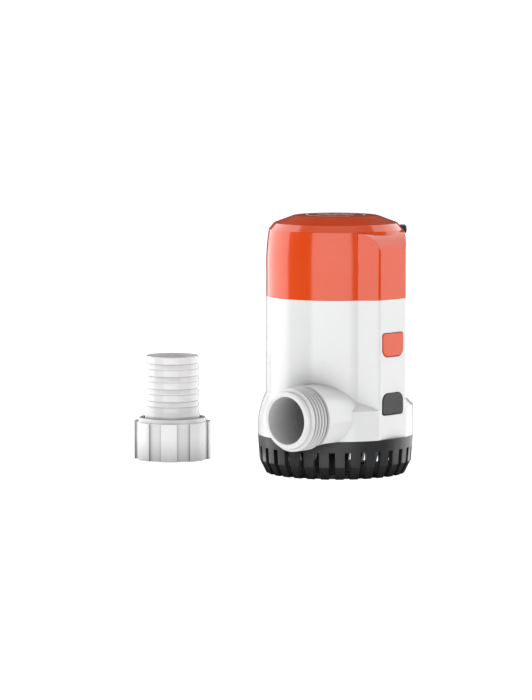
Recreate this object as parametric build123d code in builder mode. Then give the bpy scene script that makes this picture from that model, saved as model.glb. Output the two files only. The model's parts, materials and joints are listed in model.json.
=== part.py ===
from build123d import *
import os
from math import cos, radians, sin

# Submersible bilge pump with a snap-off strainer base, a lift-out motor cartridge and a
# screw-on hose adapter.  Millimetres.  +Z is up, the pump's axis is Z and z = 0 is the
# underside of the strainer base.  The discharge port points along -Y and the latch column
# stands on the +X side.

os.makedirs("parts", exist_ok=True)

# ---------------------------------------------------------------- driving dimensions
RUN = 0.05                 # running clearance of turning and sliding fits
FIT = 0.01                 # clearance of fixed fits

# heights of the split lines and shoulders
SPLIT_Z = 20.7             # strainer base to pump housing
CAP_Z = 95.0               # pump housing to motor cap
SHOULDER_LOW_Z = 36.5
SHOULDER_HIGH_Z = 40.8
TOP_Z = 138.5

# the shoulder is a plain cone from the port past the column, then swells into a round
CONE_START = -80.0
CONE_ARC = 140.0
SWELL_ARC = 72.0
SWELL_SECTIONS = 13
SWELL_RISE = 2.7
SWELL_DROP = 9.1
SWELL_BULGE = (0.75, 0.4)

# outer radii
BODY_R = 37.2
HOUSING_R = 41.7
WALL = 2.5

# latch column: a trapezoid rib on +X
COLUMN_FACE_X = 40.2
COLUMN_FACE_HALF = 10.95
COLUMN_ROOT = (32.1, 18.8)
COLUMN_EDGE_R = 2.5
CAVITY_X = 38.0
CAVITY_HALF = 9.5
SHROUD_HALF = 9.9

# strainer base
FOOT_R = 37.3
FOOT_CHAMFER_Z = 6.8
FOOT_SIDE_R = 40.7
FLOOR_T = 2.2
SLOT_COUNT = 30
SLOT_W = 3.4
SLOT_TOP_Z = 14.6
SLOT_INNER_R = 34.5
SLOT_START = 8.5
SPIGOT_R = 39.15
SPIGOT_H = 2.7
SPIGOT_WALL = 1.8
BASE_FINGER_Z = (17.2, 45.4)
BASE_NOSE_Z = (26.0, 29.0)
BASE_CAVITY_Z = (23.0, 46.6)
SKIRT_INNER_R = SPIGOT_R + RUN
FOOT_SCREW_COUNT = 3
FOOT_SCREW_R = 2.2
FOOT_SCREW_HEAD_R = 3.6
FOOT_SCREW_PCD = 44.0

# volute chamber and discharge port
CHAMBER_LOW_Z = 19.4
WEB_LOW_Z = 46.0
WEB_HIGH_Z = 52.0
VOLUTE_R = 31.4
VOLUTE_LOW_Z = 17.9
SPIRAL_START_R = 25.2
SPIRAL_END_R = 28.8
TONGUE_ANGLE = -86.0
TONGUE_T = 3.0
PORT_X = 16.1
PORT_Z = 33.3
PORT_BORE_R = 12.6
THROAT_R = 12.4
THROAT_Y = 38.0
PORT_INNER_Y = 8.0
PORT_CLEARANCE = 0.2
FAIRING_R = 17.5
FAIRING_Y = 43.2
PORT_END_Y = 57.8
THREAD_PITCH = 2.309       # G1 pipe thread, 11 turns to the inch
THREAD_CREST_R = 16.62
THREAD_ROOT_R = 15.15
THREAD_LAND = 0.6
THREAD_FOOT = 2.2
THREAD_FIRST = 1.5
THREAD_RINGS = 5
LEAD_IN_R = 15.0
MOUTH_R = 14.4

# volute cover
COVER_R = 36.0
COVER_LOW_Z = 15.9
PLUG_R = 28.9
EYE_R = 11.0
COVER_SCREW_R = 33.6
COVER_SCREW_ANGLES = [-22 + 70 * i for i in range(5)]
COVER_SCREW_SHANK_R = 1.25
COVER_SCREW_HEAD = (2.3, 1.6)
COVER_SCREW_BOSS_R = 2.7
LEG_COUNT = 15
LEG_LOW_Z = 10.8
LEG_SIZE = (1.8, 2.6)
BAFFLE_LOW_Z = 14.4

# release buttons and latch fingers
BUTTON_HALF = 8.35
BUTTON_PROUD = 0.4
BUTTON_GAP = 0.3
BUTTON_FLANGE = 1.0
BUTTON_LARGE_R = 4.2
BUTTON_SMALL_R = 1.5
MOTOR_BUTTON_Z = (64.7, 77.1)
BASE_BUTTON_Z = (33.8, 45.1)
FINGER_X = (32.2, 34.2)
FINGER_HALF = 5.0
NOSE = 1.2
CAP_FINGER_Z = (60.5, 93.5)
CAP_NOSE_Z = (60.5, 63.3)

# motor cap: (radius, height) of its rim and bevel, and its low dome
RIM = (33.0, 134.2)
BEVEL = (35.8, 130.8)
BELLY = ((36.8, 122.5), (BODY_R, 108))
CROWN_R = 22.6
CROWN_RISE = 0.4
COLUMN_TOP_R = 10.5
CAP_CAVITY_TOP_Z = 119

# motor cartridge
SLEEVE_R = 29.0
SLEEVE_INNER_R = 26.6
HOUSING_BORE_R = 34.7
CAP_SPIGOT_R = HOUSING_BORE_R - RUN
CAP_SPIGOT_INNER_R = 32.6
CAP_SPIGOT_Z = 90.5
FLANGE_Z = 97.0
FLANGE_TOP_Z = 100.0
FLANGE_R = 33.4
POST_R = 31.0
POST_ANGLES = [100, 220, 340]
POST_TOP_Z = 132.4
SLEEVE_SCREW_R = 0.9
SLEEVE_SCREW_HEAD = (1.5, 1.5)
WELL_R = (8.5, 22.5)
SEAL_SEAT_R = 6.5
SEAL_SEAT_Z = 47.2
SHAFT_HOLE_R = 3.0
SEAL_GROOVE_Z = (49.6, 50.8)
CAN_R = 26.0
CAN_LOW_Z = 54.0
CAN_TOP_Z = 106.0
CAN_WALL = 1.2
CAN_FLOOR = 1.5
BOSS_R = 7.0
SHAFT_R = 2.0
SHAFT_Z = (25.0, 111.5)
BEARING_R = 5.0
BOSS_LOW_Z = 50.5
BELL_T = 2.5
UPPER_BEARING_Z = (107.5, 112.0)
MAGNET_R = (21.2, 24.75)
MAGNET_Z = (60, 96)
MAGNET_ARC = 150
BRUSH_Z = (99.1, 103.9)
BRUSH_X = (6.0, 14.0)
BRUSH_HALF = 2.5
HOLDER_WALL = 1.2
TERMINAL_X = (11.6, 12.4)
TERMINAL_TOP_Z = 112.0
CORE_R = 20.6
CORE_Z = (64.0, 92.0)
POLE_COUNT = 7
SLOT_CENTRE_R = 14.0
COIL_R = 4.2
COIL_END = 5.0
COMMUTATOR_R = 7.0
COMMUTATOR_Z = (98.5, 105.0)
IMPELLER_R = 23.0
IMPELLER_Z = (22.0, 40.5, 42.5, 43.5)
HUB_R = 6.0
VANE_COUNT = 5
VANE_T = 2.0

# cable gland on the cap's bevel
GLAND_ANGLE = 52.0
GLAND_Z = 130.2
GLAND_R = 2.45
GLAND_BORE_R = 1.5
GLAND_INNER_R = 30.0
GLAND_LENGTH = 8.6
LEAD_R = 0.55
LEAD_BEND_R = 3.5

# hose adapter, standing beside the pump
ADAPTER = (-105.0, -16.5)
NUT_H = 20.8
NUT_TOP_Z = 22.9
NUT_R = 21.0
NUT_RECESS_R = 19.7
NUT_LOBES = 8
NUT_RECESS_W = 7.4
NUT_START = -29.3
NUT_SEAT_Z = 16.05
NUT_NECK_R = 15.6
NUT_THREAD_R = THREAD_CREST_R + 0.1
GASKET_R = (13.4, 16.4)
GASKET_LOW_Z = 12.0
TAIL_TOP_Z = 57.1
TAIL_LOW_Z = 13.2
TAIL_FLANGE_Z = 16.0
TAIL_R = 14.5
TAIL_BARB_R = 14.95
TAIL_BORE_R = 13.1
BARB_COUNT = 4
BARB_FIRST = 3.9
BARB_PITCH = 6.9
BARB_ROOT_R = 14.1
BARB_RAMP = 2.6
BARB_LAND = 0.4
NECK_R = 15.3
NECK_RISE = (1.2, 3.4)

ADAPTER_AXIS = Axis((*ADAPTER, 0), (0, 0, 1))
ADAPTER_SIDE = Plane(origin=(*ADAPTER, 0), x_dir=(1, 0, 0), z_dir=(0, -1, 0))


# ---------------------------------------------------------------- shared shapes
def polar(radius, angle):
    """Plan point at a radius and an angle in degrees."""
    return (radius * cos(radians(angle)), radius * sin(radians(angle)))


def side_plane(angle):
    """Upright plane through the pump's axis, its x axis at an angle in plan."""
    return Plane(origin=(0, 0, 0), x_dir=(*polar(1, angle), 0), z_dir=(*polar(1, angle - 90), 0))


def turned(*points, mode=Mode.ADD, arc=360, start=0):
    """Turn a closed outline of (radius, height) points about the pump's axis."""
    with BuildSketch(side_plane(start)) as outline:
        with BuildLine():
            Polyline(*points, close=True)
        make_face()
    revolve(outline.sketch, axis=Axis.Z, revolution_arc=arc, mode=mode)


def ring(inner, outer, low, high, mode=Mode.ADD):
    """A plain ring about the pump's axis."""
    turned((inner, low), (outer, low), (outer, high), (inner, high), mode=mode)


def block(x, y, z, mode=Mode.ADD):
    """A box between two limits on each axis."""
    with Locations(((x[0] + x[1]) / 2, (y[0] + y[1]) / 2, (z[0] + z[1]) / 2)):
        Box(x[1] - x[0], y[1] - y[0], z[1] - z[0], mode=mode)


def post(radius, place, low, high, mode=Mode.ADD):
    """An upright round post or hole at a plan point between two heights."""
    with BuildSketch(Plane.XY.offset(low)) as outline:
        with Locations(place):
            Circle(radius)
    extrude(outline.sketch, amount=high - low, mode=mode)


def port_shadow(reach, length):
    """Clear the way for the port along -Y: its round neck, and its wider fairing above the split line."""
    with BuildSketch(Plane.XZ.offset(reach)) as outline:
        with Locations((PORT_X, PORT_Z)):
            Circle(FAIRING_R + PORT_CLEARANCE)
        with Locations((PORT_X, SPLIT_Z)):
            Rectangle(3 * FAIRING_R, FAIRING_R, align=(Align.CENTER, Align.MAX), mode=Mode.SUBTRACT)
        with Locations((PORT_X, PORT_Z)):
            Circle(THREAD_ROOT_R + PORT_CLEARANCE)
    extrude(outline.sketch, amount=length, mode=Mode.SUBTRACT)


def port_turned(*points, mode=Mode.ADD):
    """Turn an outline of (radius, distance along -Y) points about the port's axis."""
    port_plane = Plane(origin=(PORT_X, 0, PORT_Z), x_dir=(1, 0, 0), z_dir=(0, 0, 1))
    with BuildSketch(port_plane) as outline:
        with BuildLine():
            Polyline(*[(radius, -reach) for radius, reach in points], close=True)
        make_face()
    revolve(outline.sketch, axis=Axis((PORT_X, 0, PORT_Z), (0, -1, 0)), mode=mode)


def column_section(low, high, mode=Mode.ADD):
    """The latch column's trapezoid section between two heights."""
    with BuildSketch(Plane.XY.offset(low)) as section:
        with BuildLine():
            Polyline(
                (0, -COLUMN_ROOT[1]),
                (COLUMN_ROOT[0], -COLUMN_ROOT[1]),
                (COLUMN_FACE_X, -COLUMN_FACE_HALF),
                (COLUMN_FACE_X, COLUMN_FACE_HALF),
                (COLUMN_ROOT[0], COLUMN_ROOT[1]),
                (0, COLUMN_ROOT[1]),
                close=True,
            )
        make_face()
        fillet(section.vertices().group_by(Axis.X)[-1], COLUMN_EDGE_R)
    extrude(section.sketch, amount=high - low, mode=mode)


def gland_rod(radius, start, length, mode=Mode.ADD):
    """A rod on the cable gland's axis, from a distance out from the pump's axis."""
    end_plane = Plane(origin=(*polar(start, GLAND_ANGLE), GLAND_Z), z_dir=(*polar(1, GLAND_ANGLE), 0))
    with BuildSketch(end_plane) as end:
        Circle(radius)
    extrude(end.sketch, amount=length, mode=mode)


def o_ring(major, minor, height):
    """An O-ring about the pump's axis."""
    with Locations((0, 0, height)):
        Torus(major, minor)


def tab_prism(x, z, grow, rounded, mode=Mode.ADD):
    """A release button's outline between two x values; its rounded end has the large corners."""
    low = z[0] - grow
    high = z[1] + grow
    with BuildSketch(Plane.YZ.offset(x[0])) as outline:
        with Locations((0, (low + high) / 2)):
            Rectangle(2 * (BUTTON_HALF + grow), high - low)
        ends = {"low": 0, "high": -1}
        plain = "high" if rounded == "low" else "low"
        fillet(outline.vertices().group_by(Axis.Y)[ends[rounded]], BUTTON_LARGE_R + grow)
        fillet(outline.vertices().group_by(Axis.Y)[ends[plain]], BUTTON_SMALL_R + grow)
    extrude(outline.sketch, amount=x[1] - x[0], mode=mode)


# ---------------------------------------------------------------- strainer base
with BuildPart() as strainer_base:
    turned(
        (0, 0),
        (FOOT_R, 0),
        (FOOT_SIDE_R, FOOT_CHAMFER_Z),
        (HOUSING_R, SPLIT_Z),
        (SPIGOT_R, SPLIT_Z),
        (SPIGOT_R, SPLIT_Z + SPIGOT_H),
        (SPIGOT_R - SPIGOT_WALL, SPLIT_Z + SPIGOT_H),
        (SPIGOT_R - SPIGOT_WALL, SPLIT_Z - 1.5),
        (FOOT_SIDE_R - 2.0, SPLIT_Z - 4.0),
        (FOOT_SIDE_R - WALL, FOOT_CHAMFER_Z + 0.5),
        (FOOT_R - 2.0, FLOOR_T),
        (0, FLOOR_T),
    )
    # inlet slots, open through the foot chamfer
    slot_length = 11
    with BuildSketch(Plane.XY.offset(-1)):
        with PolarLocations(SLOT_INNER_R + slot_length / 2, SLOT_COUNT, start_angle=SLOT_START):
            Rectangle(slot_length, SLOT_W)
    extrude(amount=SLOT_TOP_Z + 1, mode=Mode.SUBTRACT)
    # saddle that clears the discharge port
    port_shadow(18, 27)
    # countersunk holes that screw the base to the hull
    with Locations((0, 0, FLOOR_T)):
        with PolarLocations(FOOT_SCREW_PCD / 2, FOOT_SCREW_COUNT, start_angle=90):
            CounterSinkHole(FOOT_SCREW_R, FOOT_SCREW_HEAD_R, depth=2 * FLOOR_T)
    # latch finger that stands up inside the column
    block(FINGER_X, (-FINGER_HALF, FINGER_HALF), BASE_FINGER_Z)
    block((FINGER_X[1], SPIGOT_R), (-FINGER_HALF, FINGER_HALF), (BASE_FINGER_Z[0], SPLIT_Z - 0.2))
    block((FINGER_X[1], FINGER_X[1] + NOSE), (-FINGER_HALF, FINGER_HALF), BASE_NOSE_Z)
strainer_base.part.label = "strainer_base"
export_step(strainer_base.part, "parts/strainer_base.step")


# ---------------------------------------------------------------- pump housing
def shoulder(swell, angle):
    """Upright section of the lower housing; swell 0 is nearly a plain cone, 1 the round volute side."""
    high = SHOULDER_HIGH_Z + SWELL_RISE * swell
    low = SHOULDER_LOW_Z - SWELL_DROP * swell
    bulge = max(swell, 0.01)
    middle = ((BODY_R + HOUSING_R) / 2 + SWELL_BULGE[0] * bulge, (high + low) / 2 + SWELL_BULGE[1] * bulge)
    with BuildSketch(side_plane(angle)) as outline:
        with BuildLine():
            Polyline((HOUSING_R, low), (HOUSING_R, SPLIT_Z), (20, SPLIT_Z), (20, high), (BODY_R, high))
            ThreePointArc((BODY_R, high), middle, (HOUSING_R, low))
        make_face()
    return outline.sketch


with BuildPart() as pump_housing:
    ring(0, BODY_R, SPLIT_Z, CAP_Z)
    column_section(SPLIT_Z, CAP_Z)
    # the shoulder: a plain cone on the column's side, swelling into a round on the far side
    swell_start = CONE_START + CONE_ARC
    revolve(shoulder(0, CONE_START), axis=Axis.Z, revolution_arc=CONE_ARC)
    loft(sections=[
        shoulder((1 - cos(radians(180 * i / (SWELL_SECTIONS - 1)))) / 2,
                 swell_start + SWELL_ARC * i / (SWELL_SECTIONS - 1))
        for i in range(SWELL_SECTIONS)
    ])
    revolve(shoulder(1, swell_start + SWELL_ARC), axis=Axis.Z, revolution_arc=360 - CONE_ARC - SWELL_ARC)
    # the column's flat face runs down to the strainer
    block((COLUMN_FACE_X, 50), (-30, 30), (0, 60), mode=Mode.SUBTRACT)
    # hollow under the web, between the volute and the skirt
    turned(
        (0, SPLIT_Z - 1),
        (SKIRT_INNER_R, SPLIT_Z - 1),
        (SKIRT_INNER_R, SHOULDER_LOW_Z - 2.0),
        (HOUSING_BORE_R, SHOULDER_HIGH_Z - 1.8),
        (HOUSING_BORE_R, WEB_LOW_Z - WALL),
        (0, WEB_LOW_Z - WALL),
        mode=Mode.SUBTRACT,
    )
    # column wall in front of the lower latch finger
    block((CAVITY_X, COLUMN_FACE_X), (-SHROUD_HALF, SHROUD_HALF), (SPLIT_Z + SPIGOT_H + 0.3, WEB_LOW_Z))
    block((VOLUTE_R + 0.1, CAVITY_X), (-CAVITY_HALF, CAVITY_HALF), BASE_CAVITY_Z, mode=Mode.SUBTRACT)
    # discharge port: a fairing that stops at the split line, then neck, lead-in and thread
    port_turned((0, 15), (FAIRING_R, 15), (FAIRING_R, FAIRING_Y), (THREAD_ROOT_R, FAIRING_Y + 0.5),
                (0, FAIRING_Y + 0.5))
    block((PORT_X - 1.5 * FAIRING_R, PORT_X + 1.5 * FAIRING_R), (-FAIRING_Y - 1, -15), (0, SPLIT_Z),
          mode=Mode.SUBTRACT)
    port_turned((0, 15), (THREAD_ROOT_R, 15), (THREAD_ROOT_R, PORT_END_Y - 3.9),
                (LEAD_IN_R, PORT_END_Y - 3.8), (LEAD_IN_R, PORT_END_Y - 0.6), (MOUTH_R, PORT_END_Y),
                (0, PORT_END_Y))
    for i in range(THREAD_RINGS):
        crest = FAIRING_Y + THREAD_FIRST + THREAD_PITCH * i
        port_turned((14, crest - THREAD_FOOT / 2), (THREAD_ROOT_R, crest - THREAD_FOOT / 2),
                    (THREAD_CREST_R, crest - THREAD_LAND / 2), (THREAD_CREST_R, crest + THREAD_LAND / 2),
                    (THREAD_ROOT_R, crest + THREAD_FOOT / 2), (14, crest + THREAD_FOOT / 2))
    ring(0, SPIGOT_R, 10, VOLUTE_LOW_Z, mode=Mode.SUBTRACT)
    # volute body, its screw bosses and the spiral chamber
    ring(0, VOLUTE_R, VOLUTE_LOW_Z, WEB_LOW_Z)
    for angle in COVER_SCREW_ANGLES:
        post(COVER_SCREW_BOSS_R, polar(COVER_SCREW_R, angle), VOLUTE_LOW_Z, WEB_LOW_Z)
    with BuildSketch(Plane.XY.offset(CHAMBER_LOW_Z)):
        with BuildLine():
            steps = 12
            sweep_angle = 360 + TONGUE_ANGLE
            Spline(*[
                polar(SPIRAL_START_R + (SPIRAL_END_R - SPIRAL_START_R) * i / steps,
                      TONGUE_ANGLE - sweep_angle * i / steps)
                for i in range(steps + 1)
            ])
            CenterArc((0, 0), SPIRAL_END_R, 0, TONGUE_ANGLE + TONGUE_T)
            Line(polar(SPIRAL_END_R, TONGUE_ANGLE + TONGUE_T), polar(SPIRAL_START_R, TONGUE_ANGLE))
        make_face()
    extrude(amount=WEB_LOW_Z - CHAMBER_LOW_Z, mode=Mode.SUBTRACT)
    ring(0, PLUG_R + RUN, VOLUTE_LOW_Z, CHAMBER_LOW_Z, mode=Mode.SUBTRACT)
    port_turned((0, PORT_INNER_Y), (THROAT_R, PORT_INNER_Y), (THROAT_R, THROAT_Y), (PORT_BORE_R, THROAT_Y),
                (PORT_BORE_R, PORT_END_Y + 1), (0, PORT_END_Y + 1), mode=Mode.SUBTRACT)
    for angle in COVER_SCREW_ANGLES:
        post(COVER_SCREW_SHANK_R + RUN, polar(COVER_SCREW_R, angle), VOLUTE_LOW_Z - 1, VOLUTE_LOW_Z + 14,
             mode=Mode.SUBTRACT)
    # bores for the cartridge
    ring(0, SLEEVE_R + RUN, WEB_LOW_Z, WEB_HIGH_Z, mode=Mode.SUBTRACT)
    ring(0, HOUSING_BORE_R, WEB_HIGH_Z, CAP_Z, mode=Mode.SUBTRACT)
    block((25, CAVITY_X), (-CAVITY_HALF, CAVITY_HALF), (WEB_HIGH_Z, CAP_Z), mode=Mode.SUBTRACT)
    # windows for the two release buttons
    tab_prism((35, 45), MOTOR_BUTTON_Z, BUTTON_GAP, "low", mode=Mode.SUBTRACT)
    tab_prism((35, 45), BASE_BUTTON_Z, BUTTON_GAP, "high", mode=Mode.SUBTRACT)
pump_housing.part.label = "pump_housing"
export_step(pump_housing.part, "parts/pump_housing.step")

# ---------------------------------------------------------------- volute cover
with BuildPart() as volute_cover:
    ring(0, COVER_R, COVER_LOW_Z, VOLUTE_LOW_Z)
    ring(0, PLUG_R, VOLUTE_LOW_Z, CHAMBER_LOW_Z)
    # rolled lip of the inlet eye
    ring(EYE_R - 1, EYE_R + 2.5, COVER_LOW_Z - 3, COVER_LOW_Z)
    ring(0, EYE_R, COVER_LOW_Z - 4, CHAMBER_LOW_Z + 1, mode=Mode.SUBTRACT)
    fillet(volute_cover.edges().filter_by(GeomType.CIRCLE).sort_by(Axis.Z)[:2], 0.8)
    # spacer legs
    with BuildSketch(Plane.XY.offset(LEG_LOW_Z)):
        with PolarLocations(COVER_R - 1.0, LEG_COUNT, start_angle=4):
            Rectangle(*LEG_SIZE)
    extrude(amount=COVER_LOW_Z - LEG_LOW_Z)
    # low baffles round the eye and along the legs
    ring(EYE_R + 8, EYE_R + 9, BAFFLE_LOW_Z, COVER_LOW_Z)
    ring(COVER_R - 2, COVER_R - 1, BAFFLE_LOW_Z, COVER_LOW_Z)
    # room for the lower latch finger, the port and the seal
    block((FINGER_X[0] - 1.2, 50), (-FINGER_HALF - 1.5, FINGER_HALF + 1.5), (0, 30), mode=Mode.SUBTRACT)
    port_shadow(30, 15)
    ring(29.6, 30.8, VOLUTE_LOW_Z - 1.0, VOLUTE_LOW_Z, mode=Mode.SUBTRACT)
    for angle in COVER_SCREW_ANGLES:
        post(1.5, polar(COVER_SCREW_R, angle), COVER_LOW_Z, VOLUTE_LOW_Z, mode=Mode.SUBTRACT)
        post(2.6, polar(COVER_SCREW_R, angle), LEG_LOW_Z, COVER_LOW_Z, mode=Mode.SUBTRACT)
volute_cover.part.label = "volute_cover"
export_step(volute_cover.part, "parts/volute_cover.step")

with BuildPart() as volute_cover_seal:
    o_ring(30.2, 0.48, VOLUTE_LOW_Z - 0.5)
volute_cover_seal.part.label = "volute_cover_seal"
export_step(volute_cover_seal.part, "parts/volute_cover_seal.step")

with BuildPart() as volute_cover_screws:
    head_r, head_h = COVER_SCREW_HEAD
    for angle in COVER_SCREW_ANGLES:
        place = polar(COVER_SCREW_R, angle)
        post(head_r, place, COVER_LOW_Z - head_h, COVER_LOW_Z)
        post(COVER_SCREW_SHANK_R, place, COVER_LOW_Z, COVER_LOW_Z + 13)
        with Locations((*place, COVER_LOW_Z - head_h)):
            Box(1.4 * head_r, 0.7, head_h, mode=Mode.SUBTRACT)
            Box(0.7, 1.4 * head_r, head_h, mode=Mode.SUBTRACT)
volute_cover_screws.part.label = "volute_cover_screws"
export_step(volute_cover_screws.part, "parts/volute_cover_screws.step")


# ---------------------------------------------------------------- release buttons
def release_button(z, rounded):
    """A push button held in its window by an inner flange."""
    tab_prism((CAVITY_X - 1.5, COLUMN_FACE_X + BUTTON_PROUD), z, 0, rounded)
    outer_rim = faces().sort_by(Axis.X)[-1].edges()
    fillet(outer_rim, 0.35)
    tab_prism((CAVITY_X - 1.55, CAVITY_X - RUN), z, BUTTON_FLANGE, rounded)


with BuildPart() as motor_release_button:
    release_button(MOTOR_BUTTON_Z, "low")
motor_release_button.part.label = "motor_release_button"
export_step(motor_release_button.part, "parts/motor_release_button.step")

with BuildPart() as base_release_button:
    release_button(BASE_BUTTON_Z, "high")
base_release_button.part.label = "base_release_button"
export_step(base_release_button.part, "parts/base_release_button.step")

# ---------------------------------------------------------------- motor cap
with BuildPart() as motor_cap:
    # the latch column, its top rounded over from the flat face to the bevel's lower edge
    column_section(CAP_Z, RIM[1])
    with BuildSketch(Plane.XZ):
        with BuildLine():
            Polyline((COLUMN_FACE_X, BEVEL[1] - COLUMN_TOP_R), (COLUMN_FACE_X, CAP_Z), (0, CAP_Z),
                     (0, BEVEL[1]), (COLUMN_FACE_X - COLUMN_TOP_R, BEVEL[1]))
            CenterArc((COLUMN_FACE_X - COLUMN_TOP_R, BEVEL[1] - COLUMN_TOP_R), COLUMN_TOP_R, 0, 90)
        make_face()
    extrude(amount=COLUMN_ROOT[1] + 1, both=True, mode=Mode.INTERSECT)
    # the round shell: low dome, cone, bevel and a skirt with a slight belly
    with BuildSketch(Plane.XZ) as shell:
        with BuildLine():
            crown_edge = (CROWN_R, TOP_Z - CROWN_RISE)
            Polyline((BODY_R, CAP_Z), (0, CAP_Z), (0, TOP_Z))
            ThreePointArc((0, TOP_Z), (CROWN_R / 2, TOP_Z - CROWN_RISE / 4), crown_edge)
            Polyline(crown_edge, RIM, BEVEL)
            ThreePointArc(BEVEL, *BELLY)
            Line(BELLY[1], (BODY_R, CAP_Z))
        make_face()
        fillet(shell.vertices().sort_by_distance((*RIM, 0))[0], 0.8)
        fillet(shell.vertices().sort_by_distance((*crown_edge, 0))[0], 6.0)
    revolve(axis=Axis.Z)
    # hollow inside
    turned(
        (0, CAP_Z),
        (HOUSING_BORE_R, CAP_Z),
        (HOUSING_BORE_R, 114),
        (HOUSING_BORE_R - 0.6, 125),
        (HOUSING_BORE_R - 1.6, 129.2),
        (31.8, 131.8),
        (CROWN_R - 0.4, 135.7),
        (0, 136.1),
        mode=Mode.SUBTRACT,
    )
    block((33, CAVITY_X), (-CAVITY_HALF, CAVITY_HALF), (CAP_Z, CAP_CAVITY_TOP_Z), mode=Mode.SUBTRACT)
    # spigot that centres the cap in the housing, with the groove of its seal
    ring(CAP_SPIGOT_INNER_R, CAP_SPIGOT_R, CAP_SPIGOT_Z, FLANGE_Z)
    ring(CAP_SPIGOT_R - 0.5, HOUSING_BORE_R + 0.5, CAP_Z, FLANGE_Z)
    # posts for the sleeve screws
    for angle in POST_ANGLES:
        post(2.6, polar(POST_R, angle), FLANGE_TOP_Z, POST_TOP_Z)
        post(SLEEVE_SCREW_R + RUN, polar(POST_R, angle), FLANGE_TOP_Z, FLANGE_TOP_Z + 12, mode=Mode.SUBTRACT)
    # latch finger that hangs inside the column
    block(FINGER_X, (-FINGER_HALF, FINGER_HALF), CAP_FINGER_Z)
    block((FINGER_X[1], FINGER_X[1] + NOSE), (-FINGER_HALF, FINGER_HALF), CAP_NOSE_Z)
    ring(CAP_SPIGOT_R - 1.45, CAP_SPIGOT_R + 1, 92.0, 93.5, mode=Mode.SUBTRACT)
    # hole for the cable gland
    gland_rod(GLAND_R + FIT, GLAND_INNER_R - 2, 14, mode=Mode.SUBTRACT)
motor_cap.part.label = "motor_cap"
export_step(motor_cap.part, "parts/motor_cap.step")

with BuildPart() as cap_seal:
    o_ring(33.94, 0.68, 92.75)
cap_seal.part.label = "cap_seal"
export_step(cap_seal.part, "parts/cap_seal.step")

# ---------------------------------------------------------------- cable gland and leads
with BuildPart() as cable_gland:
    gland_rod(GLAND_R, GLAND_INNER_R, GLAND_LENGTH)
    fillet(cable_gland.edges().filter_by(GeomType.CIRCLE).sort_by_distance((0, 0, GLAND_Z))[-1], 1.1)
    gland_rod(GLAND_BORE_R, GLAND_INNER_R - 1, GLAND_LENGTH + 2, mode=Mode.SUBTRACT)
cable_gland.part.label = "cable_gland"
export_step(cable_gland.part, "parts/cable_gland.step")

with BuildPart() as gland_potting:
    gland_rod(GLAND_BORE_R - FIT, GLAND_INNER_R + 0.5, GLAND_LENGTH - 1.2)
gland_potting.part.label = "gland_potting"
export_step(gland_potting.part, "parts/gland_potting.step")


def beside_gland_axis(reach, side):
    """A lead's point beside the gland's axis, at a distance out from the pump's axis."""
    along = polar(reach, GLAND_ANGLE)
    aside = polar(side * (LEAD_R + 0.07), GLAND_ANGLE - 90)
    return (along[0] + aside[0], along[1] + aside[1], GLAND_Z)


def lead(side):
    """One insulated motor lead from its terminal up to the gland."""
    terminal_x = side * sum(TERMINAL_X) / 2
    start = (terminal_x, 0, TERMINAL_TOP_Z)
    rise = (terminal_x, 0, TERMINAL_TOP_Z + 9)
    with BuildLine() as route:
        FilletPolyline(start, rise, beside_gland_axis(GLAND_INNER_R - 10, side),
                       beside_gland_axis(GLAND_INNER_R + 0.4, side), radius=LEAD_BEND_R)
    with BuildSketch(Plane(origin=start, z_dir=(0, 0, 1))) as section:
        Circle(LEAD_R)
    sweep(section.sketch, path=route.line)


with BuildPart() as lead_positive:
    lead(1)
lead_positive.part.label = "lead_positive"
export_step(lead_positive.part, "parts/lead_positive.step")

with BuildPart() as lead_negative:
    lead(-1)
lead_negative.part.label = "lead_negative"
export_step(lead_negative.part, "parts/lead_negative.step")

# ---------------------------------------------------------------- cartridge sleeve
with BuildPart() as cartridge_sleeve:
    ring(0, SLEEVE_R, WEB_LOW_Z, FLANGE_TOP_Z)
    ring(0, FLANGE_R, FLANGE_Z, FLANGE_TOP_Z)
    ring(0, SLEEVE_INNER_R, CAN_LOW_Z, FLANGE_TOP_Z, mode=Mode.SUBTRACT)
    ring(*WELL_R, WEB_LOW_Z + WALL, CAN_LOW_Z, mode=Mode.SUBTRACT)
    ring(0, WELL_R[0], BOSS_LOW_Z, CAN_LOW_Z, mode=Mode.SUBTRACT)
    ring(0, SEAL_SEAT_R, SEAL_SEAT_Z, BOSS_LOW_Z, mode=Mode.SUBTRACT)
    ring(0, SHAFT_HOLE_R, WEB_LOW_Z - 1, SEAL_SEAT_Z, mode=Mode.SUBTRACT)
    ring(SLEEVE_R - 1.1, SLEEVE_R + 1, *SEAL_GROOVE_Z, mode=Mode.SUBTRACT)
    block((FINGER_X[0] - 0.6, 40), (-FINGER_HALF - 1, FINGER_HALF + 1), (FLANGE_Z, FLANGE_TOP_Z),
          mode=Mode.SUBTRACT)
    for angle in POST_ANGLES:
        post(SLEEVE_SCREW_R + 0.2, polar(POST_R, angle), FLANGE_Z, FLANGE_TOP_Z, mode=Mode.SUBTRACT)
cartridge_sleeve.part.label = "cartridge_sleeve"
export_step(cartridge_sleeve.part, "parts/cartridge_sleeve.step")

with BuildPart() as cartridge_seal:
    o_ring(28.45, 0.5, sum(SEAL_GROOVE_Z) / 2)
cartridge_seal.part.label = "cartridge_seal"
export_step(cartridge_seal.part, "parts/cartridge_seal.step")

with BuildPart() as sleeve_screws:
    head_r, head_h = SLEEVE_SCREW_HEAD
    for angle in POST_ANGLES:
        place = polar(POST_R, angle)
        post(head_r, place, FLANGE_Z - head_h, FLANGE_Z)
        post(SLEEVE_SCREW_R, place, FLANGE_Z, FLANGE_Z + 13)
        with Locations((*place, FLANGE_Z - head_h)):
            Box(1.5 * head_r, 0.5, 0.8 * head_h, mode=Mode.SUBTRACT)
sleeve_screws.part.label = "sleeve_screws"
export_step(sleeve_screws.part, "parts/sleeve_screws.step")

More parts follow.
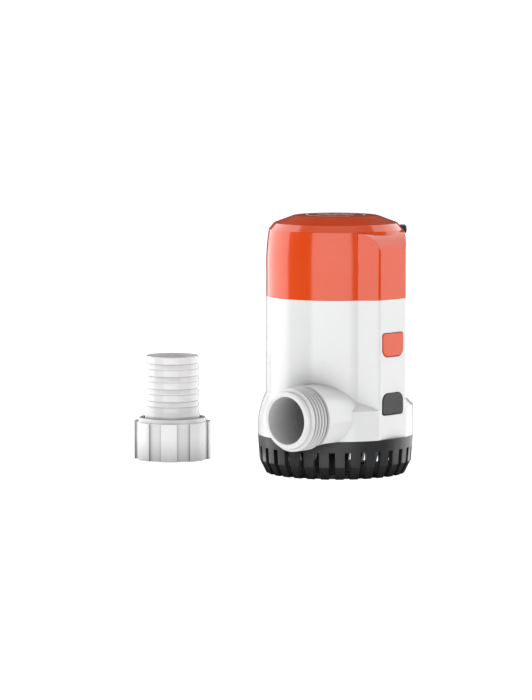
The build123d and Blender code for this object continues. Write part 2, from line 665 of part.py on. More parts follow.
with BuildPart() as shaft_seal:
    ring(SHAFT_R + RUN, SEAL_SEAT_R - FIT, SEAL_SEAT_Z, BOSS_LOW_Z - 0.2)
    ring(SHAFT_R + 1.0, SEAL_SEAT_R - 1.3, SEAL_SEAT_Z + 1, BOSS_LOW_Z, mode=Mode.SUBTRACT)
shaft_seal.part.label = "shaft_seal"
export_step(shaft_seal.part, "parts/shaft_seal.step")

with BuildPart() as seal_spring:
    o_ring(SHAFT_R + 1.9, 0.45, SEAL_SEAT_Z + 2)
seal_spring.part.label = "seal_spring"
export_step(seal_spring.part, "parts/seal_spring.step")

# ---------------------------------------------------------------- motor
with BuildPart() as motor_can:
    ring(0, CAN_R, CAN_LOW_Z, CAN_TOP_Z)
    ring(0, BOSS_R, BOSS_LOW_Z, CAN_LOW_Z)
    ring(0, CAN_R - CAN_WALL, CAN_LOW_Z + CAN_FLOOR, CAN_TOP_Z, mode=Mode.SUBTRACT)
    ring(0, BEARING_R, BOSS_LOW_Z + 1, CAN_LOW_Z + CAN_FLOOR, mode=Mode.SUBTRACT)
    ring(0, SHAFT_HOLE_R, BOSS_LOW_Z - 1, BOSS_LOW_Z + 1, mode=Mode.SUBTRACT)
motor_can.part.label = "motor_can"
export_step(motor_can.part, "parts/motor_can.step")

with BuildPart() as lower_bearing:
    ring(SHAFT_R + RUN, BEARING_R - FIT, BOSS_LOW_Z + 1, CAN_LOW_Z + CAN_FLOOR)
lower_bearing.part.label = "lower_bearing"
export_step(lower_bearing.part, "parts/lower_bearing.step")

with BuildPart() as motor_magnets:
    for start in (15, 195):
        turned((MAGNET_R[0], MAGNET_Z[0]), (MAGNET_R[1], MAGNET_Z[0]), (MAGNET_R[1], MAGNET_Z[1]),
               (MAGNET_R[0], MAGNET_Z[1]), start=start, arc=MAGNET_ARC)
motor_magnets.part.label = "motor_magnets"
export_step(motor_magnets.part, "parts/motor_magnets.step")

with BuildPart() as motor_end_bell:
    ring(0, CAN_R, CAN_TOP_Z, CAN_TOP_Z + BELL_T)
    ring(22.6, CAN_R - CAN_WALL - FIT, CAN_TOP_Z - 4, CAN_TOP_Z)
    ring(0, BOSS_R, CAN_TOP_Z, UPPER_BEARING_Z[1] + 1)
    channel = BRUSH_HALF + 0.1
    for side in (-1, 1):
        block((-channel - HOLDER_WALL, channel + HOLDER_WALL), sorted((side * 8.5, side * 22.8)),
              (BRUSH_Z[0] - 1.5, CAN_TOP_Z))
        block((-channel, channel), sorted((side * 7.5, side * 21.6)), (BRUSH_Z[0] - 0.1, BRUSH_Z[1] + 0.1),
              mode=Mode.SUBTRACT)
    ring(0, COMMUTATOR_R + 1.3, COMMUTATOR_Z[0] - 1.5, CAN_TOP_Z, mode=Mode.SUBTRACT)
    ring(0, BEARING_R, *UPPER_BEARING_Z, mode=Mode.SUBTRACT)
    ring(0, SHAFT_HOLE_R, CAN_TOP_Z - 1, UPPER_BEARING_Z[0], mode=Mode.SUBTRACT)
motor_end_bell.part.label = "motor_end_bell"
export_step(motor_end_bell.part, "parts/motor_end_bell.step")

with BuildPart() as upper_bearing:
    ring(SHAFT_R + RUN, BEARING_R - FIT, *UPPER_BEARING_Z)
upper_bearing.part.label = "upper_bearing"
export_step(upper_bearing.part, "parts/upper_bearing.step")

with BuildPart() as brushes:
    for side in (-1, 1):
        block((-BRUSH_HALF, BRUSH_HALF), sorted((side * BRUSH_X[0], side * BRUSH_X[1])), BRUSH_Z)
    ring(0, COMMUTATOR_R + RUN, *COMMUTATOR_Z, mode=Mode.SUBTRACT)
brushes.part.label = "brushes"
export_step(brushes.part, "parts/brushes.step")

with BuildPart() as brush_springs:
    for side in (-1, 1):
        first_turn = (0, side * (BRUSH_X[1] + 0.6), sum(BRUSH_Z) / 2)
        with BuildLine() as coil:
            Helix(pitch=1.3, height=6.2, radius=1.6, center=first_turn, direction=(0, side, 0))
        with BuildSketch(Plane(origin=coil.line @ 0, z_dir=coil.line % 0)):
            Circle(0.3)
        sweep(path=coil.line, is_frenet=True)
brush_springs.part.label = "brush_springs"
export_step(brush_springs.part, "parts/brush_springs.step")

with BuildPart() as motor_terminals:
    for side in (-1, 1):
        block(sorted((side * TERMINAL_X[0], side * TERMINAL_X[1])), (-2.4, 2.4),
              (CAN_TOP_Z + BELL_T, TERMINAL_TOP_Z))
motor_terminals.part.label = "motor_terminals"
export_step(motor_terminals.part, "parts/motor_terminals.step")

# ---------------------------------------------------------------- rotor
with BuildPart() as shaft:
    ring(0, SHAFT_R, *SHAFT_Z)
    chamfer(shaft.edges().filter_by(GeomType.CIRCLE), 0.3)
shaft.part.label = "shaft"
export_step(shaft.part, "parts/shaft.step")

with BuildPart() as armature_core:
    with BuildSketch(Plane.XY.offset(CORE_Z[0])):
        Circle(CORE_R)
        with PolarLocations(SLOT_CENTRE_R, POLE_COUNT):
            Circle(COIL_R + 0.2, mode=Mode.SUBTRACT)
        with PolarLocations(SLOT_CENTRE_R + 5, POLE_COUNT):
            Rectangle(5, 2.2, mode=Mode.SUBTRACT)
        Circle(SHAFT_R + FIT, mode=Mode.SUBTRACT)
    extrude(amount=CORE_Z[1] - CORE_Z[0])
armature_core.part.label = "armature_core"
export_step(armature_core.part, "parts/armature_core.step")

with BuildPart() as armature_windings:
    with BuildSketch(Plane.XY.offset(CORE_Z[0] - COIL_END)):
        with PolarLocations(SLOT_CENTRE_R, POLE_COUNT):
            Circle(COIL_R)
    extrude(amount=CORE_Z[1] - CORE_Z[0] + 2 * COIL_END)
    for low, high in ((CORE_Z[0] - COIL_END, CORE_Z[0] - 0.2), (CORE_Z[1] + 0.2, CORE_Z[1] + COIL_END)):
        ring(SLOT_CENTRE_R - 5, SLOT_CENTRE_R + 4.6, low, high)
armature_windings.part.label = "armature_windings"
export_step(armature_windings.part, "parts/armature_windings.step")

with BuildPart() as commutator:
    ring(SHAFT_R + FIT, COMMUTATOR_R, *COMMUTATOR_Z)
    with BuildSketch(Plane.XY.offset(COMMUTATOR_Z[0])):
        with PolarLocations(COMMUTATOR_R, POLE_COUNT):
            Rectangle(1.6, 0.4)
    extrude(amount=COMMUTATOR_Z[1] - COMMUTATOR_Z[0], mode=Mode.SUBTRACT)
commutator.part.label = "commutator"
export_step(commutator.part, "parts/commutator.step")

with BuildPart() as impeller:
    vane_low, disc_low, disc_high, hub_high = IMPELLER_Z
    ring(0, HUB_R, vane_low + 2, hub_high)
    ring(0, IMPELLER_R, disc_low, disc_high)
    with BuildSketch(Plane.XY.offset(vane_low)):
        with PolarLocations(0, VANE_COUNT):
            with BuildLine(mode=Mode.PRIVATE) as vane_line:
                ThreePointArc(polar(HUB_R - 1, 0), polar(14.0, 18), polar(IMPELLER_R - 1.2, 52))
            SlotArc(vane_line.edge(), VANE_T)
    extrude(amount=disc_low - vane_low + 0.1)
    ring(0, SHAFT_R + FIT, vane_low, hub_high, mode=Mode.SUBTRACT)
impeller.part.label = "impeller"
export_step(impeller.part, "parts/impeller.step")


# ---------------------------------------------------------------- hose adapter
def adapter_turned(*points, mode=Mode.ADD):
    """Turn a closed outline of (radius, height) points about the adapter's axis."""
    with BuildSketch(ADAPTER_SIDE) as outline:
        with BuildLine():
            Polyline(*points, close=True)
        make_face()
    revolve(outline.sketch, axis=ADAPTER_AXIS, mode=mode)


with BuildPart() as union_nut:
    with BuildSketch(Plane(origin=(*ADAPTER, 0))):
        Circle(NUT_R)
        with PolarLocations(NUT_RECESS_R + 1.5, NUT_LOBES, start_angle=NUT_START):
            Rectangle(3.0, NUT_RECESS_W, mode=Mode.SUBTRACT)
    extrude(amount=NUT_H)
    adapter_turned((0, 0), (NUT_RECESS_R - 0.6, 0), (NUT_RECESS_R - 0.6, NUT_H),
                   (NUT_RECESS_R - 1.6, NUT_TOP_Z), (0, NUT_TOP_Z))
    adapter_turned((0, -1), (NUT_THREAD_R, -1), (NUT_THREAD_R, NUT_SEAT_Z), (NUT_NECK_R, NUT_SEAT_Z),
                   (NUT_NECK_R, NUT_TOP_Z + 1), (0, NUT_TOP_Z + 1), mode=Mode.SUBTRACT)
    for i in range(THREAD_RINGS):
        crest = THREAD_FIRST + THREAD_PITCH * i
        adapter_turned((17.2, crest - THREAD_FOOT / 2), (NUT_THREAD_R, crest - THREAD_FOOT / 2),
                       (THREAD_ROOT_R + RUN, crest - THREAD_LAND / 2),
                       (THREAD_ROOT_R + RUN, crest + THREAD_LAND / 2),
                       (NUT_THREAD_R, crest + THREAD_FOOT / 2), (17.2, crest + THREAD_FOOT / 2))
union_nut.part.label = "union_nut"
export_step(union_nut.part, "parts/union_nut.step")

with BuildPart() as hose_tail:
    profile = [(TAIL_BORE_R, TAIL_LOW_Z), (TAIL_BORE_R, TAIL_TOP_Z), (TAIL_R - 0.4, TAIL_TOP_Z),
               (TAIL_R, TAIL_TOP_Z - 0.5)]
    for i in range(BARB_COUNT):
        groove = TAIL_TOP_Z - BARB_FIRST - BARB_PITCH * i
        crest = groove - BARB_RAMP
        profile += [(TAIL_R, groove), (BARB_ROOT_R, groove - 0.2), (TAIL_BARB_R, crest),
                    (TAIL_BARB_R, crest - BARB_LAND), (TAIL_R, crest - BARB_LAND - 0.2)]
    profile += [(TAIL_R, NUT_TOP_Z + NECK_RISE[1]), (NECK_R, NUT_TOP_Z + NECK_RISE[0]),
                (NECK_R, TAIL_FLANGE_Z), (THREAD_CREST_R, TAIL_FLANGE_Z), (THREAD_CREST_R, TAIL_LOW_Z)]
    adapter_turned(*profile)
hose_tail.part.label = "hose_tail"
export_step(hose_tail.part, "parts/hose_tail.step")

with BuildPart() as union_gasket:
    adapter_turned((GASKET_R[0], GASKET_LOW_Z), (GASKET_R[1], GASKET_LOW_Z), (GASKET_R[1], TAIL_LOW_Z),
                   (GASKET_R[0], TAIL_LOW_Z))
union_gasket.part.label = "union_gasket"
export_step(union_gasket.part, "parts/union_gasket.step")
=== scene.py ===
import json
import math

import bmesh
import bpy
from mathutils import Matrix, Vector


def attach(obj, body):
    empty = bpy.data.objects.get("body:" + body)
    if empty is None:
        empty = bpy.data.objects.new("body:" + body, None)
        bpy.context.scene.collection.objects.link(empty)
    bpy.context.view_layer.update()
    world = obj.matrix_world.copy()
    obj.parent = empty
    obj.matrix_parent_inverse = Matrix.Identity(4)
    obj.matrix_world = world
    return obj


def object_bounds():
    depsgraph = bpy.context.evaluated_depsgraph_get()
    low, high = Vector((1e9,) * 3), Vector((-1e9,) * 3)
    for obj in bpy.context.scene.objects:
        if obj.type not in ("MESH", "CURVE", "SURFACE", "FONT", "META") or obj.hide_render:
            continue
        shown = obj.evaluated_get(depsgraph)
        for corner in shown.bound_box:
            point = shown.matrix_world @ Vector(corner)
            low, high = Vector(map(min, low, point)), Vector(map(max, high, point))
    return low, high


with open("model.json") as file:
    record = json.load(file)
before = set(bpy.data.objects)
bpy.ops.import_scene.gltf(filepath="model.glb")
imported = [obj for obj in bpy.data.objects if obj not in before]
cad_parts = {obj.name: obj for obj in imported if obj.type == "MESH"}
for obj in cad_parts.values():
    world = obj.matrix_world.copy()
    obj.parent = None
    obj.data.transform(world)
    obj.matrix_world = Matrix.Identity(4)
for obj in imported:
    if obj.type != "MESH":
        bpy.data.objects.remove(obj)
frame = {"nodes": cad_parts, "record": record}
cad_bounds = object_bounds()
nodes = frame["nodes"]
MM = 0.001

# ------------------------------------------------------------------ camera
CAMERA_AZIMUTH = 42.0
CAMERA_ELEVATION = 5.46
CAMERA_DISTANCE = 2.105
CAMERA_LENS = 201.6
CAMERA_SENSOR = 36.0
CAMERA_CLIP = (0.05, 50.0)
CAMERA_TARGET = Vector((-27.7, -25.0, 65.5)) * MM


def direction(azimuth, elevation):
    """Unit vector from the object towards a viewer; azimuth 0 stands on -Y, 90 on +X."""
    a = math.radians(azimuth)
    e = math.radians(elevation)
    return Vector((math.sin(a) * math.cos(e), -math.cos(a) * math.cos(e), math.sin(e)))


def aim(obj, target):
    """Turn a camera or a lamp so that it looks at a point."""
    obj.rotation_euler = (target - obj.location).to_track_quat("-Z", "Y").to_euler()


def link(obj):
    bpy.context.scene.collection.objects.link(obj)
    return obj


def make_camera():
    camera = link(bpy.data.objects.new("camera", bpy.data.cameras.new("camera")))
    camera.data.lens = CAMERA_LENS
    camera.data.sensor_width = CAMERA_SENSOR
    camera.data.sensor_fit = "AUTO"
    camera.data.clip_start, camera.data.clip_end = CAMERA_CLIP
    camera.location = CAMERA_TARGET + direction(CAMERA_AZIMUTH, CAMERA_ELEVATION) * CAMERA_DISTANCE
    aim(camera, CAMERA_TARGET)
    bpy.context.scene.camera = camera


# ------------------------------------------------------------------ light and floor
SOFTBOX_DISTANCE = 1.6
SOFTBOX_LOW = -0.35
WATTS_PER_RADIANCE = 4
# name, left and right azimuth from the camera's side, top in metres, radiance, mirrored
SOFTBOXES = (
    ("front_gloss", -41, 26, 0.7, 1.75, True),
    ("left_gloss", -156, -86, 2.4, 1.8, True),
    ("right_gloss", 94, 160, 2.4, 1.6, True),
    ("front_fill", -40, 40, 1.2, 0.95, False),
    ("left_fill", -130, -70, 1.8, 1.6, False),
    ("right_fill", 70, 130, 1.8, 0.88, False),
    ("back_fill", 150, 210, 1.2, 0.5, False),
)
# brightness of the surroundings, from straight below (0) through level (0.5) to overhead (1)
WORLD_LEVELS = ((0.0, 0.05), (0.5, 0.05), (0.6, 0.1), (0.7, 0.16), (0.85, 0.07), (1.0, 0.16))
FLOOR_GREY = (0.3, 0.3, 0.3, 1.0)
FLOOR_ROUGHNESS = 0.9
FLOOR_GLOW = 1.0
FLOOR_GAP = 0.02 * MM
FLOOR_R = 9.0
FLOOR_SIDES = 48
WALL_HEIGHT = 6.0


def softbox(name, left, right, top, radiance, mirrored):
    """A tall soft lamp that spans two azimuths as seen from the pump, counted from the camera's side.

    A mirrored one shows only in the gloss; the others light only the body colour.
    """
    half_angle = math.radians(right - left) / 2
    width = 2 * SOFTBOX_DISTANCE * math.tan(half_angle)
    height = top - SOFTBOX_LOW
    middle = Vector((0, 0, (SOFTBOX_LOW + top) / 2))
    lamp = bpy.data.lights.new(name, "AREA")
    lamp.shape = "RECTANGLE"
    lamp.size = width
    lamp.size_y = height
    lamp.energy = radiance * WATTS_PER_RADIANCE * width * height
    obj = link(bpy.data.objects.new(name, lamp))
    obj.location = middle + direction(CAMERA_AZIMUTH + (left + right) / 2, 0) * SOFTBOX_DISTANCE
    aim(obj, middle)
    obj.visible_camera = False
    obj.visible_diffuse = not mirrored
    obj.visible_glossy = mirrored


def make_lights():
    for box in SOFTBOXES:
        softbox(*box)
    bpy.context.scene.view_settings.view_transform = "Standard"


def make_world():
    """Dim studio surroundings, a little brighter above the horizon and overhead."""
    world = bpy.data.worlds.new("studio")
    world.use_nodes = True
    tree = world.node_tree
    place = tree.nodes.new("ShaderNodeTexCoord")
    split = tree.nodes.new("ShaderNodeSeparateXYZ")
    ramp = tree.nodes.new("ShaderNodeValToRGB")
    tree.links.new(place.outputs["Generated"], split.inputs["Vector"])
    height = tree.nodes.new("ShaderNodeMapRange")
    height.inputs["From Min"].default_value = -1.0
    tree.links.new(split.outputs["Z"], height.inputs["Value"])
    tree.links.new(height.outputs["Result"], ramp.inputs["Fac"])
    tree.links.new(ramp.outputs["Color"], tree.nodes["Background"].inputs["Color"])
    stops = ramp.color_ramp.elements
    for place_on_ramp, level in WORLD_LEVELS:
        stop = stops[0] if place_on_ramp == 0.0 else stops.new(place_on_ramp)
        stop.position = place_on_ramp
        stop.color = (level, level, level, 1.0)
    stops.remove(stops[len(stops) - 1])
    bpy.context.scene.world = world


def pale_sheet(name, points, faces, material):
    """A staging surface that doesn't show in the gloss."""
    mesh = bpy.data.meshes.new(name)
    mesh.from_pydata(points, [], faces)
    mesh.materials.append(material)
    sheet = link(bpy.data.objects.new(name, mesh))
    sheet.visible_glossy = False
    return sheet


def make_floor():
    """Pale floor, and a pale wall round its edge that only the camera sees."""
    material, shader, _ = new_material("floor_white")
    shader.inputs["Base Color"].default_value = FLOOR_GREY
    shader.inputs["Roughness"].default_value = FLOOR_ROUGHNESS
    shader.inputs["Specular IOR Level"].default_value = 0.0
    shader.inputs["Emission Color"].default_value = (1.0, 1.0, 1.0, 1.0)
    shader.inputs["Emission Strength"].default_value = FLOOR_GLOW
    under = cad_bounds[0][2] - FLOOR_GAP
    count = FLOOR_SIDES
    edge = [direction(360.0 * i / count, 0.0) * FLOOR_R for i in range(count)]
    low = [(point.x, point.y, under) for point in edge]
    high = [(point.x, point.y, under + WALL_HEIGHT) for point in edge]
    pale_sheet("floor", low, [tuple(range(count))], material)
    sides = [(i, (i + 1) % count, (i + 1) % count + count, i + count) for i in range(count)]
    wall = pale_sheet("floor_wall", low + high, sides, material)
    wall.visible_diffuse = False
    wall.visible_shadow = False


# ------------------------------------------------------------------ materials
# the discharge port's axis and bore, in millimetres, for the shade painted into the bore; the port points
# along -Y
PORT_X = 16.1
PORT_Z = 33.3
PORT_BORE_R = 12.9
PORT_MOUTH_Y = 57.0
PORT_DARK_Y = 34.0
PORT_INNER_Y = 8.0
# painted shade: the bore's colour is mixed towards this near-black tone, more so further in
PORT_SHADE_TONE = (0.02, 0.02, 0.02, 1.0)
PORT_SHADE = (0.12, 0.44)       # share of the dark tone at the mouth and inside

NOISE_SPREAD = (0.3, 0.7)       # the range that most of a noise texture falls in
PLASTIC_CLOUDS = 45             # waves per metre of the faint cloud in a plastic's colour
PLASTIC_PATCHES = 160           # waves per metre of its uneven gloss
PLASTIC_IOR = 1.6
RECESS_SHADE = 0.1
FULL_SPECULAR = 0.5
METAL_PATCHES = 300
METAL_EDGE_MM = 0.1


def new_material(name):
    """An empty principled material: returns it, its shader and its node tree."""
    material = bpy.data.materials.new(name)
    material.use_nodes = True
    tree = material.node_tree
    return material, tree.nodes["Principled BSDF"], tree


def noise(tree, scale, detail=3.0, roughness=0.5, stretch=(1, 1, 1)):
    """Noise in object space, so that its grain has a real size; scale is waves per metre."""
    place = tree.nodes.new("ShaderNodeTexCoord")
    mapping = tree.nodes.new("ShaderNodeMapping")
    mapping.inputs["Scale"].default_value = stretch
    texture = tree.nodes.new("ShaderNodeTexNoise")
    texture.inputs["Scale"].default_value = scale
    texture.inputs["Detail"].default_value = detail
    texture.inputs["Roughness"].default_value = roughness
    tree.links.new(place.outputs["Object"], mapping.inputs["Vector"])
    tree.links.new(mapping.outputs["Vector"], texture.inputs["Vector"])
    return texture.outputs["Fac"]


def remap(tree, value, low, high):
    """Spread a noise over a range."""
    spread = tree.nodes.new("ShaderNodeMapRange")
    spread.inputs["From Min"].default_value = NOISE_SPREAD[0]
    spread.inputs["From Max"].default_value = NOISE_SPREAD[1]
    spread.inputs["To Min"].default_value = low
    spread.inputs["To Max"].default_value = high
    tree.links.new(value, spread.inputs["Value"])
    return spread.outputs["Result"]


def tint(tree, factor, dark, light):
    """Colour between two tones by a 0 to 1 value."""
    mix = tree.nodes.new("ShaderNodeMix")
    mix.data_type = "RGBA"
    mix.inputs["A"].default_value = (*dark, 1.0)
    mix.inputs["B"].default_value = (*light, 1.0)
    tree.links.new(factor, mix.inputs["Factor"])
    return mix.outputs["Result"]


def bump(tree, shader, height, distance, edge):
    """Relief of a real height in metres, over edges softened by a real radius."""
    relief = tree.nodes.new("ShaderNodeBump")
    relief.inputs["Strength"].default_value = 1.0
    relief.inputs["Distance"].default_value = distance
    tree.links.new(height, relief.inputs["Height"])
    rounded = tree.nodes.new("ShaderNodeBevel")
    rounded.samples = 6
    rounded.inputs["Radius"].default_value = edge
    tree.links.new(rounded.outputs["Normal"], relief.inputs["Normal"])
    tree.links.new(relief.outputs["Normal"], shader.inputs["Normal"])


def paint_recess_shade(tree, colour, reach_mm, shade):
    """Painted shade: darken a colour inside grooves and hollows, where less light reaches; returns it and
    how open each point is.
    """
    open_sky = tree.nodes.new("ShaderNodeAmbientOcclusion")
    open_sky.samples = 8
    open_sky.inputs["Distance"].default_value = reach_mm * MM
    mix = tree.nodes.new("ShaderNodeMix")
    mix.data_type = "RGBA"
    mix.blend_type = "MULTIPLY"
    mix.inputs["B"].default_value = (shade, shade, shade, 1.0)
    inverse = tree.nodes.new("ShaderNodeMath")
    inverse.operation = "SUBTRACT"
    inverse.inputs[0].default_value = 1.0
    tree.links.new(open_sky.outputs["AO"], inverse.inputs[1])
    tree.links.new(inverse.outputs["Value"], mix.inputs["Factor"])
    tree.links.new(colour, mix.inputs["A"])
    return mix.outputs["Result"], open_sky.outputs["AO"]


def port_shade(tree, colour):
    """Paint shade into the discharge port's bore, deeper shade towards the pump."""
    place = tree.nodes.new("ShaderNodeTexCoord")
    split = tree.nodes.new("ShaderNodeSeparateXYZ")
    tree.links.new(place.outputs["Object"], split.inputs["Vector"])
    flat = tree.nodes.new("ShaderNodeCombineXYZ")
    tree.links.new(split.outputs["X"], flat.inputs["X"])
    tree.links.new(split.outputs["Z"], flat.inputs["Z"])
    reach = tree.nodes.new("ShaderNodeVectorMath")
    reach.operation = "DISTANCE"
    reach.inputs[1].default_value = (PORT_X * MM, 0, PORT_Z * MM)
    tree.links.new(flat.outputs["Vector"], reach.inputs[0])
    inside = tree.nodes.new("ShaderNodeMath")
    inside.operation = "LESS_THAN"
    inside.inputs[1].default_value = PORT_BORE_R * MM
    tree.links.new(reach.outputs["Value"], inside.inputs[0])
    depth = tree.nodes.new("ShaderNodeMapRange")
    depth.inputs["From Min"].default_value = -PORT_MOUTH_Y * MM
    depth.inputs["From Max"].default_value = -PORT_DARK_Y * MM
    depth.inputs["To Min"].default_value = PORT_SHADE[0]
    depth.inputs["To Max"].default_value = PORT_SHADE[1]
    tree.links.new(split.outputs["Y"], depth.inputs["Value"])
    in_front = tree.nodes.new("ShaderNodeMath")
    in_front.operation = "LESS_THAN"
    in_front.inputs[1].default_value = -PORT_INNER_Y * MM
    tree.links.new(split.outputs["Y"], in_front.inputs[0])
    in_bore = tree.nodes.new("ShaderNodeMath")
    in_bore.operation = "MULTIPLY"
    tree.links.new(inside.outputs["Value"], in_bore.inputs[0])
    tree.links.new(in_front.outputs["Value"], in_bore.inputs[1])
    amount = tree.nodes.new("ShaderNodeMath")
    amount.operation = "MULTIPLY"
    tree.links.new(in_bore.outputs["Value"], amount.inputs[0])
    tree.links.new(depth.outputs["Result"], amount.inputs[1])
    mix = tree.nodes.new("ShaderNodeMix")
    mix.data_type = "RGBA"
    mix.inputs["B"].default_value = PORT_SHADE_TONE
    tree.links.new(amount.outputs["Value"], mix.inputs["Factor"])
    tree.links.new(colour, mix.inputs["A"])
    return mix.outputs["Result"]


def plastic(name, dark, light, gloss, grain_mm, relief_mm, edge_mm=0.25, sheen=0.0, painted_shade_mm=0.0,
            port=False):
    """Moulded plastic: a faint cloud in its colour, uneven gloss and a fine surface grain, with painted
    shade in its recesses when a reach is given and in the port's bore when asked.
    """
    material, shader, tree = new_material(name)
    cloud = remap(tree, noise(tree, PLASTIC_CLOUDS, 4), 0, 1)
    colour = tint(tree, cloud, dark, light)
    if painted_shade_mm:
        # painted shade in grooves, creases and hollows
        colour, open_sky = paint_recess_shade(tree, colour, painted_shade_mm, RECESS_SHADE)
        # painted shade inside the discharge port's bore
        if port:
            colour = port_shade(tree, colour)
        # painted shade on the gloss: the reflection is dimmed where the surface is hemmed in
        recess_shaded_gloss = tree.nodes.new("ShaderNodeMath")
        recess_shaded_gloss.operation = "MULTIPLY"
        recess_shaded_gloss.inputs[1].default_value = FULL_SPECULAR
        tree.links.new(open_sky, recess_shaded_gloss.inputs[0])
        tree.links.new(recess_shaded_gloss.outputs["Value"], shader.inputs["Specular IOR Level"])
    tree.links.new(colour, shader.inputs["Base Color"])
    patches = remap(tree, noise(tree, PLASTIC_PATCHES, 3), gloss[0], gloss[1])
    tree.links.new(patches, shader.inputs["Roughness"])
    shader.inputs["IOR"].default_value = PLASTIC_IOR
    if sheen:
        shader.inputs["Sheen Weight"].default_value = sheen
        shader.inputs["Sheen Roughness"].default_value = 0.4
    bump(tree, shader, noise(tree, 1 / (grain_mm * MM), 2), relief_mm * MM, edge_mm * MM)
    return material


def metal(name, dark, light, gloss, stretch=(1, 1, 1), grain_mm=0.4, relief_mm=0.004, metallic=1.0):
    """Metal with drawn or turned marks along the stretched direction."""
    material, shader, tree = new_material(name)
    marks = remap(tree, noise(tree, 1 / (grain_mm * MM), 4, 0.6, stretch), 0, 1)
    tree.links.new(tint(tree, marks, dark, light), shader.inputs["Base Color"])
    shader.inputs["Metallic"].default_value = metallic
    patches = remap(tree, noise(tree, METAL_PATCHES, 3), gloss[0], gloss[1])
    tree.links.new(patches, shader.inputs["Roughness"])
    bump(tree, shader, marks, relief_mm * MM, METAL_EDGE_MM * MM)
    return material


def make_materials():
    return {
        # white_abs and black_nylon carry painted shade in their recesses; white_abs also in the port's bore
        "white_abs": plastic("white_abs", (0.775, 0.778, 0.78), (0.795, 0.798, 0.8), (0.17, 0.2),
                             0.9, 0.0012, edge_mm=0.3, painted_shade_mm=14, port=True),
        "orange_abs": plastic("orange_abs", (0.735, 0.062, 0.004), (0.755, 0.068, 0.006), (0.13, 0.16),
                              1.1, 0.0012, edge_mm=0.4),
        "black_nylon": plastic("black_nylon", (0.022, 0.0225, 0.024), (0.03, 0.031, 0.033), (0.3, 0.42),
                               0.35, 0.008, edge_mm=0.3, painted_shade_mm=9),
        "grey_plastic": plastic("grey_plastic", (0.27, 0.28, 0.29), (0.33, 0.34, 0.35), (0.38, 0.5),
                                0.4, 0.01, edge_mm=0.25),
        "rubber": plastic("rubber", (0.018, 0.018, 0.018), (0.03, 0.03, 0.031), (0.6, 0.75),
                          0.25, 0.01, edge_mm=0.1, sheen=0.15),
        "red_insulation": plastic("red_insulation", (0.45, 0.03, 0.022), (0.53, 0.04, 0.03), (0.4, 0.5),
                                  0.25, 0.006, edge_mm=0.05),
        "stainless": metal("stainless", (0.52, 0.53, 0.54), (0.66, 0.67, 0.68), (0.2, 0.32)),
        "zinc_steel": metal("zinc_steel", (0.5, 0.52, 0.54), (0.62, 0.63, 0.64), (0.3, 0.42), grain_mm=1.2),
        "laminations": metal("laminations", (0.12, 0.12, 0.125), (0.3, 0.3, 0.31), (0.4, 0.55),
                             stretch=(0.05, 0.05, 1), grain_mm=0.5, relief_mm=0.05),
        "ferrite": metal("ferrite", (0.07, 0.07, 0.075), (0.1, 0.1, 0.105), (0.6, 0.75), metallic=0.2),
        "bronze": metal("bronze", (0.5, 0.34, 0.15), (0.62, 0.44, 0.22), (0.35, 0.5), grain_mm=0.2),
        "copper": metal("copper", (0.6, 0.26, 0.13), (0.74, 0.35, 0.19), (0.25, 0.38),
                        stretch=(0.15, 0.15, 1), grain_mm=0.5, relief_mm=0.05),
        "carbon": plastic("carbon", (0.03, 0.03, 0.03), (0.05, 0.05, 0.05), (0.5, 0.7),
                          0.2, 0.01, edge_mm=0.05),
        "mark_ink": plastic("mark_ink", (0.75, 0.55, 0.5), (0.85, 0.68, 0.62), (0.35, 0.45), 0.5, 0.004),
    }


def paint_nodes(materials):
    """Give each CAD node the procedural material of its slot."""
    for part in frame["record"]["subparts"]:
        obj = nodes[part["node"]]
        for slot in obj.material_slots:
            slot.material = materials[part["material_slot"]]


# ------------------------------------------------------------------ pieces
# the cap's low dome and the mark printed on it, in millimetres
DOME_DROP = 0.1
DOME_R = 11.3
MARK_LIFT = 0.04
WAVE_ROWS = (-5.0, 0.0, 5.0)
WAVE_LENGTH = 19
WAVE_HEIGHT = 1.5
WAVE_HALF_WIDTH = 0.75
WAVE_STEPS = 48
RING_R = 15.5
RING_HALF_WIDTH = 0.55
RING_STARTS = (20, 200)
RING_ARC = 140
RING_STEPS = 60


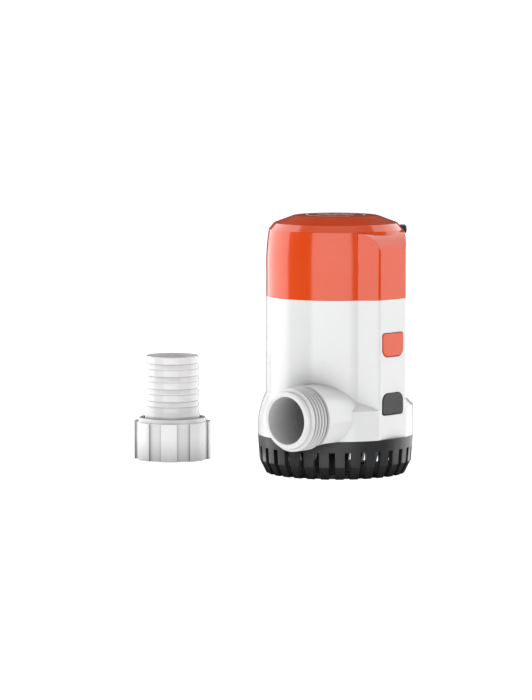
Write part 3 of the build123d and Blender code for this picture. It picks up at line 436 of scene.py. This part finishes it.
def new_piece(name, verts, faces, material, body):
    """A mesh piece in one material that rides on a body."""
    mesh = bpy.data.meshes.new(name)
    mesh.from_pydata(verts, [], faces)
    mesh.validate()
    work = bmesh.new()
    work.from_mesh(mesh)
    bmesh.ops.recalc_face_normals(work, faces=work.faces)
    work.to_mesh(mesh)
    work.free()
    obj = link(bpy.data.objects.new(name, mesh))
    obj.data.materials.append(material)
    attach(obj, body)


def crown_height(radius):
    """Height of the cap's low dome at a radius, in millimetres."""
    top = cad_bounds[1][2] / MM
    return top - DOME_DROP * (radius / DOME_R) ** 2


def crown_marks(materials):
    """A generic mark on the cap: three printed waves inside a broken ring."""
    verts = []
    faces = []

    def ribbon(points, half_width):
        """Lay a flat strip along points on the dome."""
        first = len(verts)
        for i, (x, y) in enumerate(points):
            ahead = points[min(i + 1, len(points) - 1)]
            behind = points[max(i - 1, 0)]
            along = Vector((ahead[0] - behind[0], ahead[1] - behind[1])).normalized()
            side = Vector((-along.y, along.x)) * half_width
            for sign in (-1, 1):
                px = x + side.x * sign
                py = y + side.y * sign
                verts.append((px * MM, py * MM, (crown_height(math.hypot(px, py)) + MARK_LIFT) * MM))
        for i in range(len(points) - 1):
            a = first + 2 * i
            faces.append((a, a + 1, a + 3, a + 2))

    facing = math.radians(CAMERA_AZIMUTH)
    for row in WAVE_ROWS:
        points = []
        for i in range(WAVE_STEPS + 1):
            t = i / WAVE_STEPS
            across = (t - 0.5) * WAVE_LENGTH
            rise = row + WAVE_HEIGHT * math.sin(t * 4 * math.pi)
            points.append((across * math.cos(facing) - rise * math.sin(facing),
                           across * math.sin(facing) + rise * math.cos(facing)))
        ribbon(points, WAVE_HALF_WIDTH)
    for start in RING_STARTS:
        arc = [math.radians(start + RING_ARC * i / RING_STEPS) for i in range(RING_STEPS + 1)]
        ribbon([(RING_R * math.cos(a), RING_R * math.sin(a)) for a in arc], RING_HALF_WIDTH)
    new_piece("cap_mark", verts, faces, materials["mark_ink"], "cartridge")


# ------------------------------------------------------------------ build
make_camera()
make_lights()
make_world()
make_floor()
materials = make_materials()
paint_nodes(materials)
crown_marks(materials)
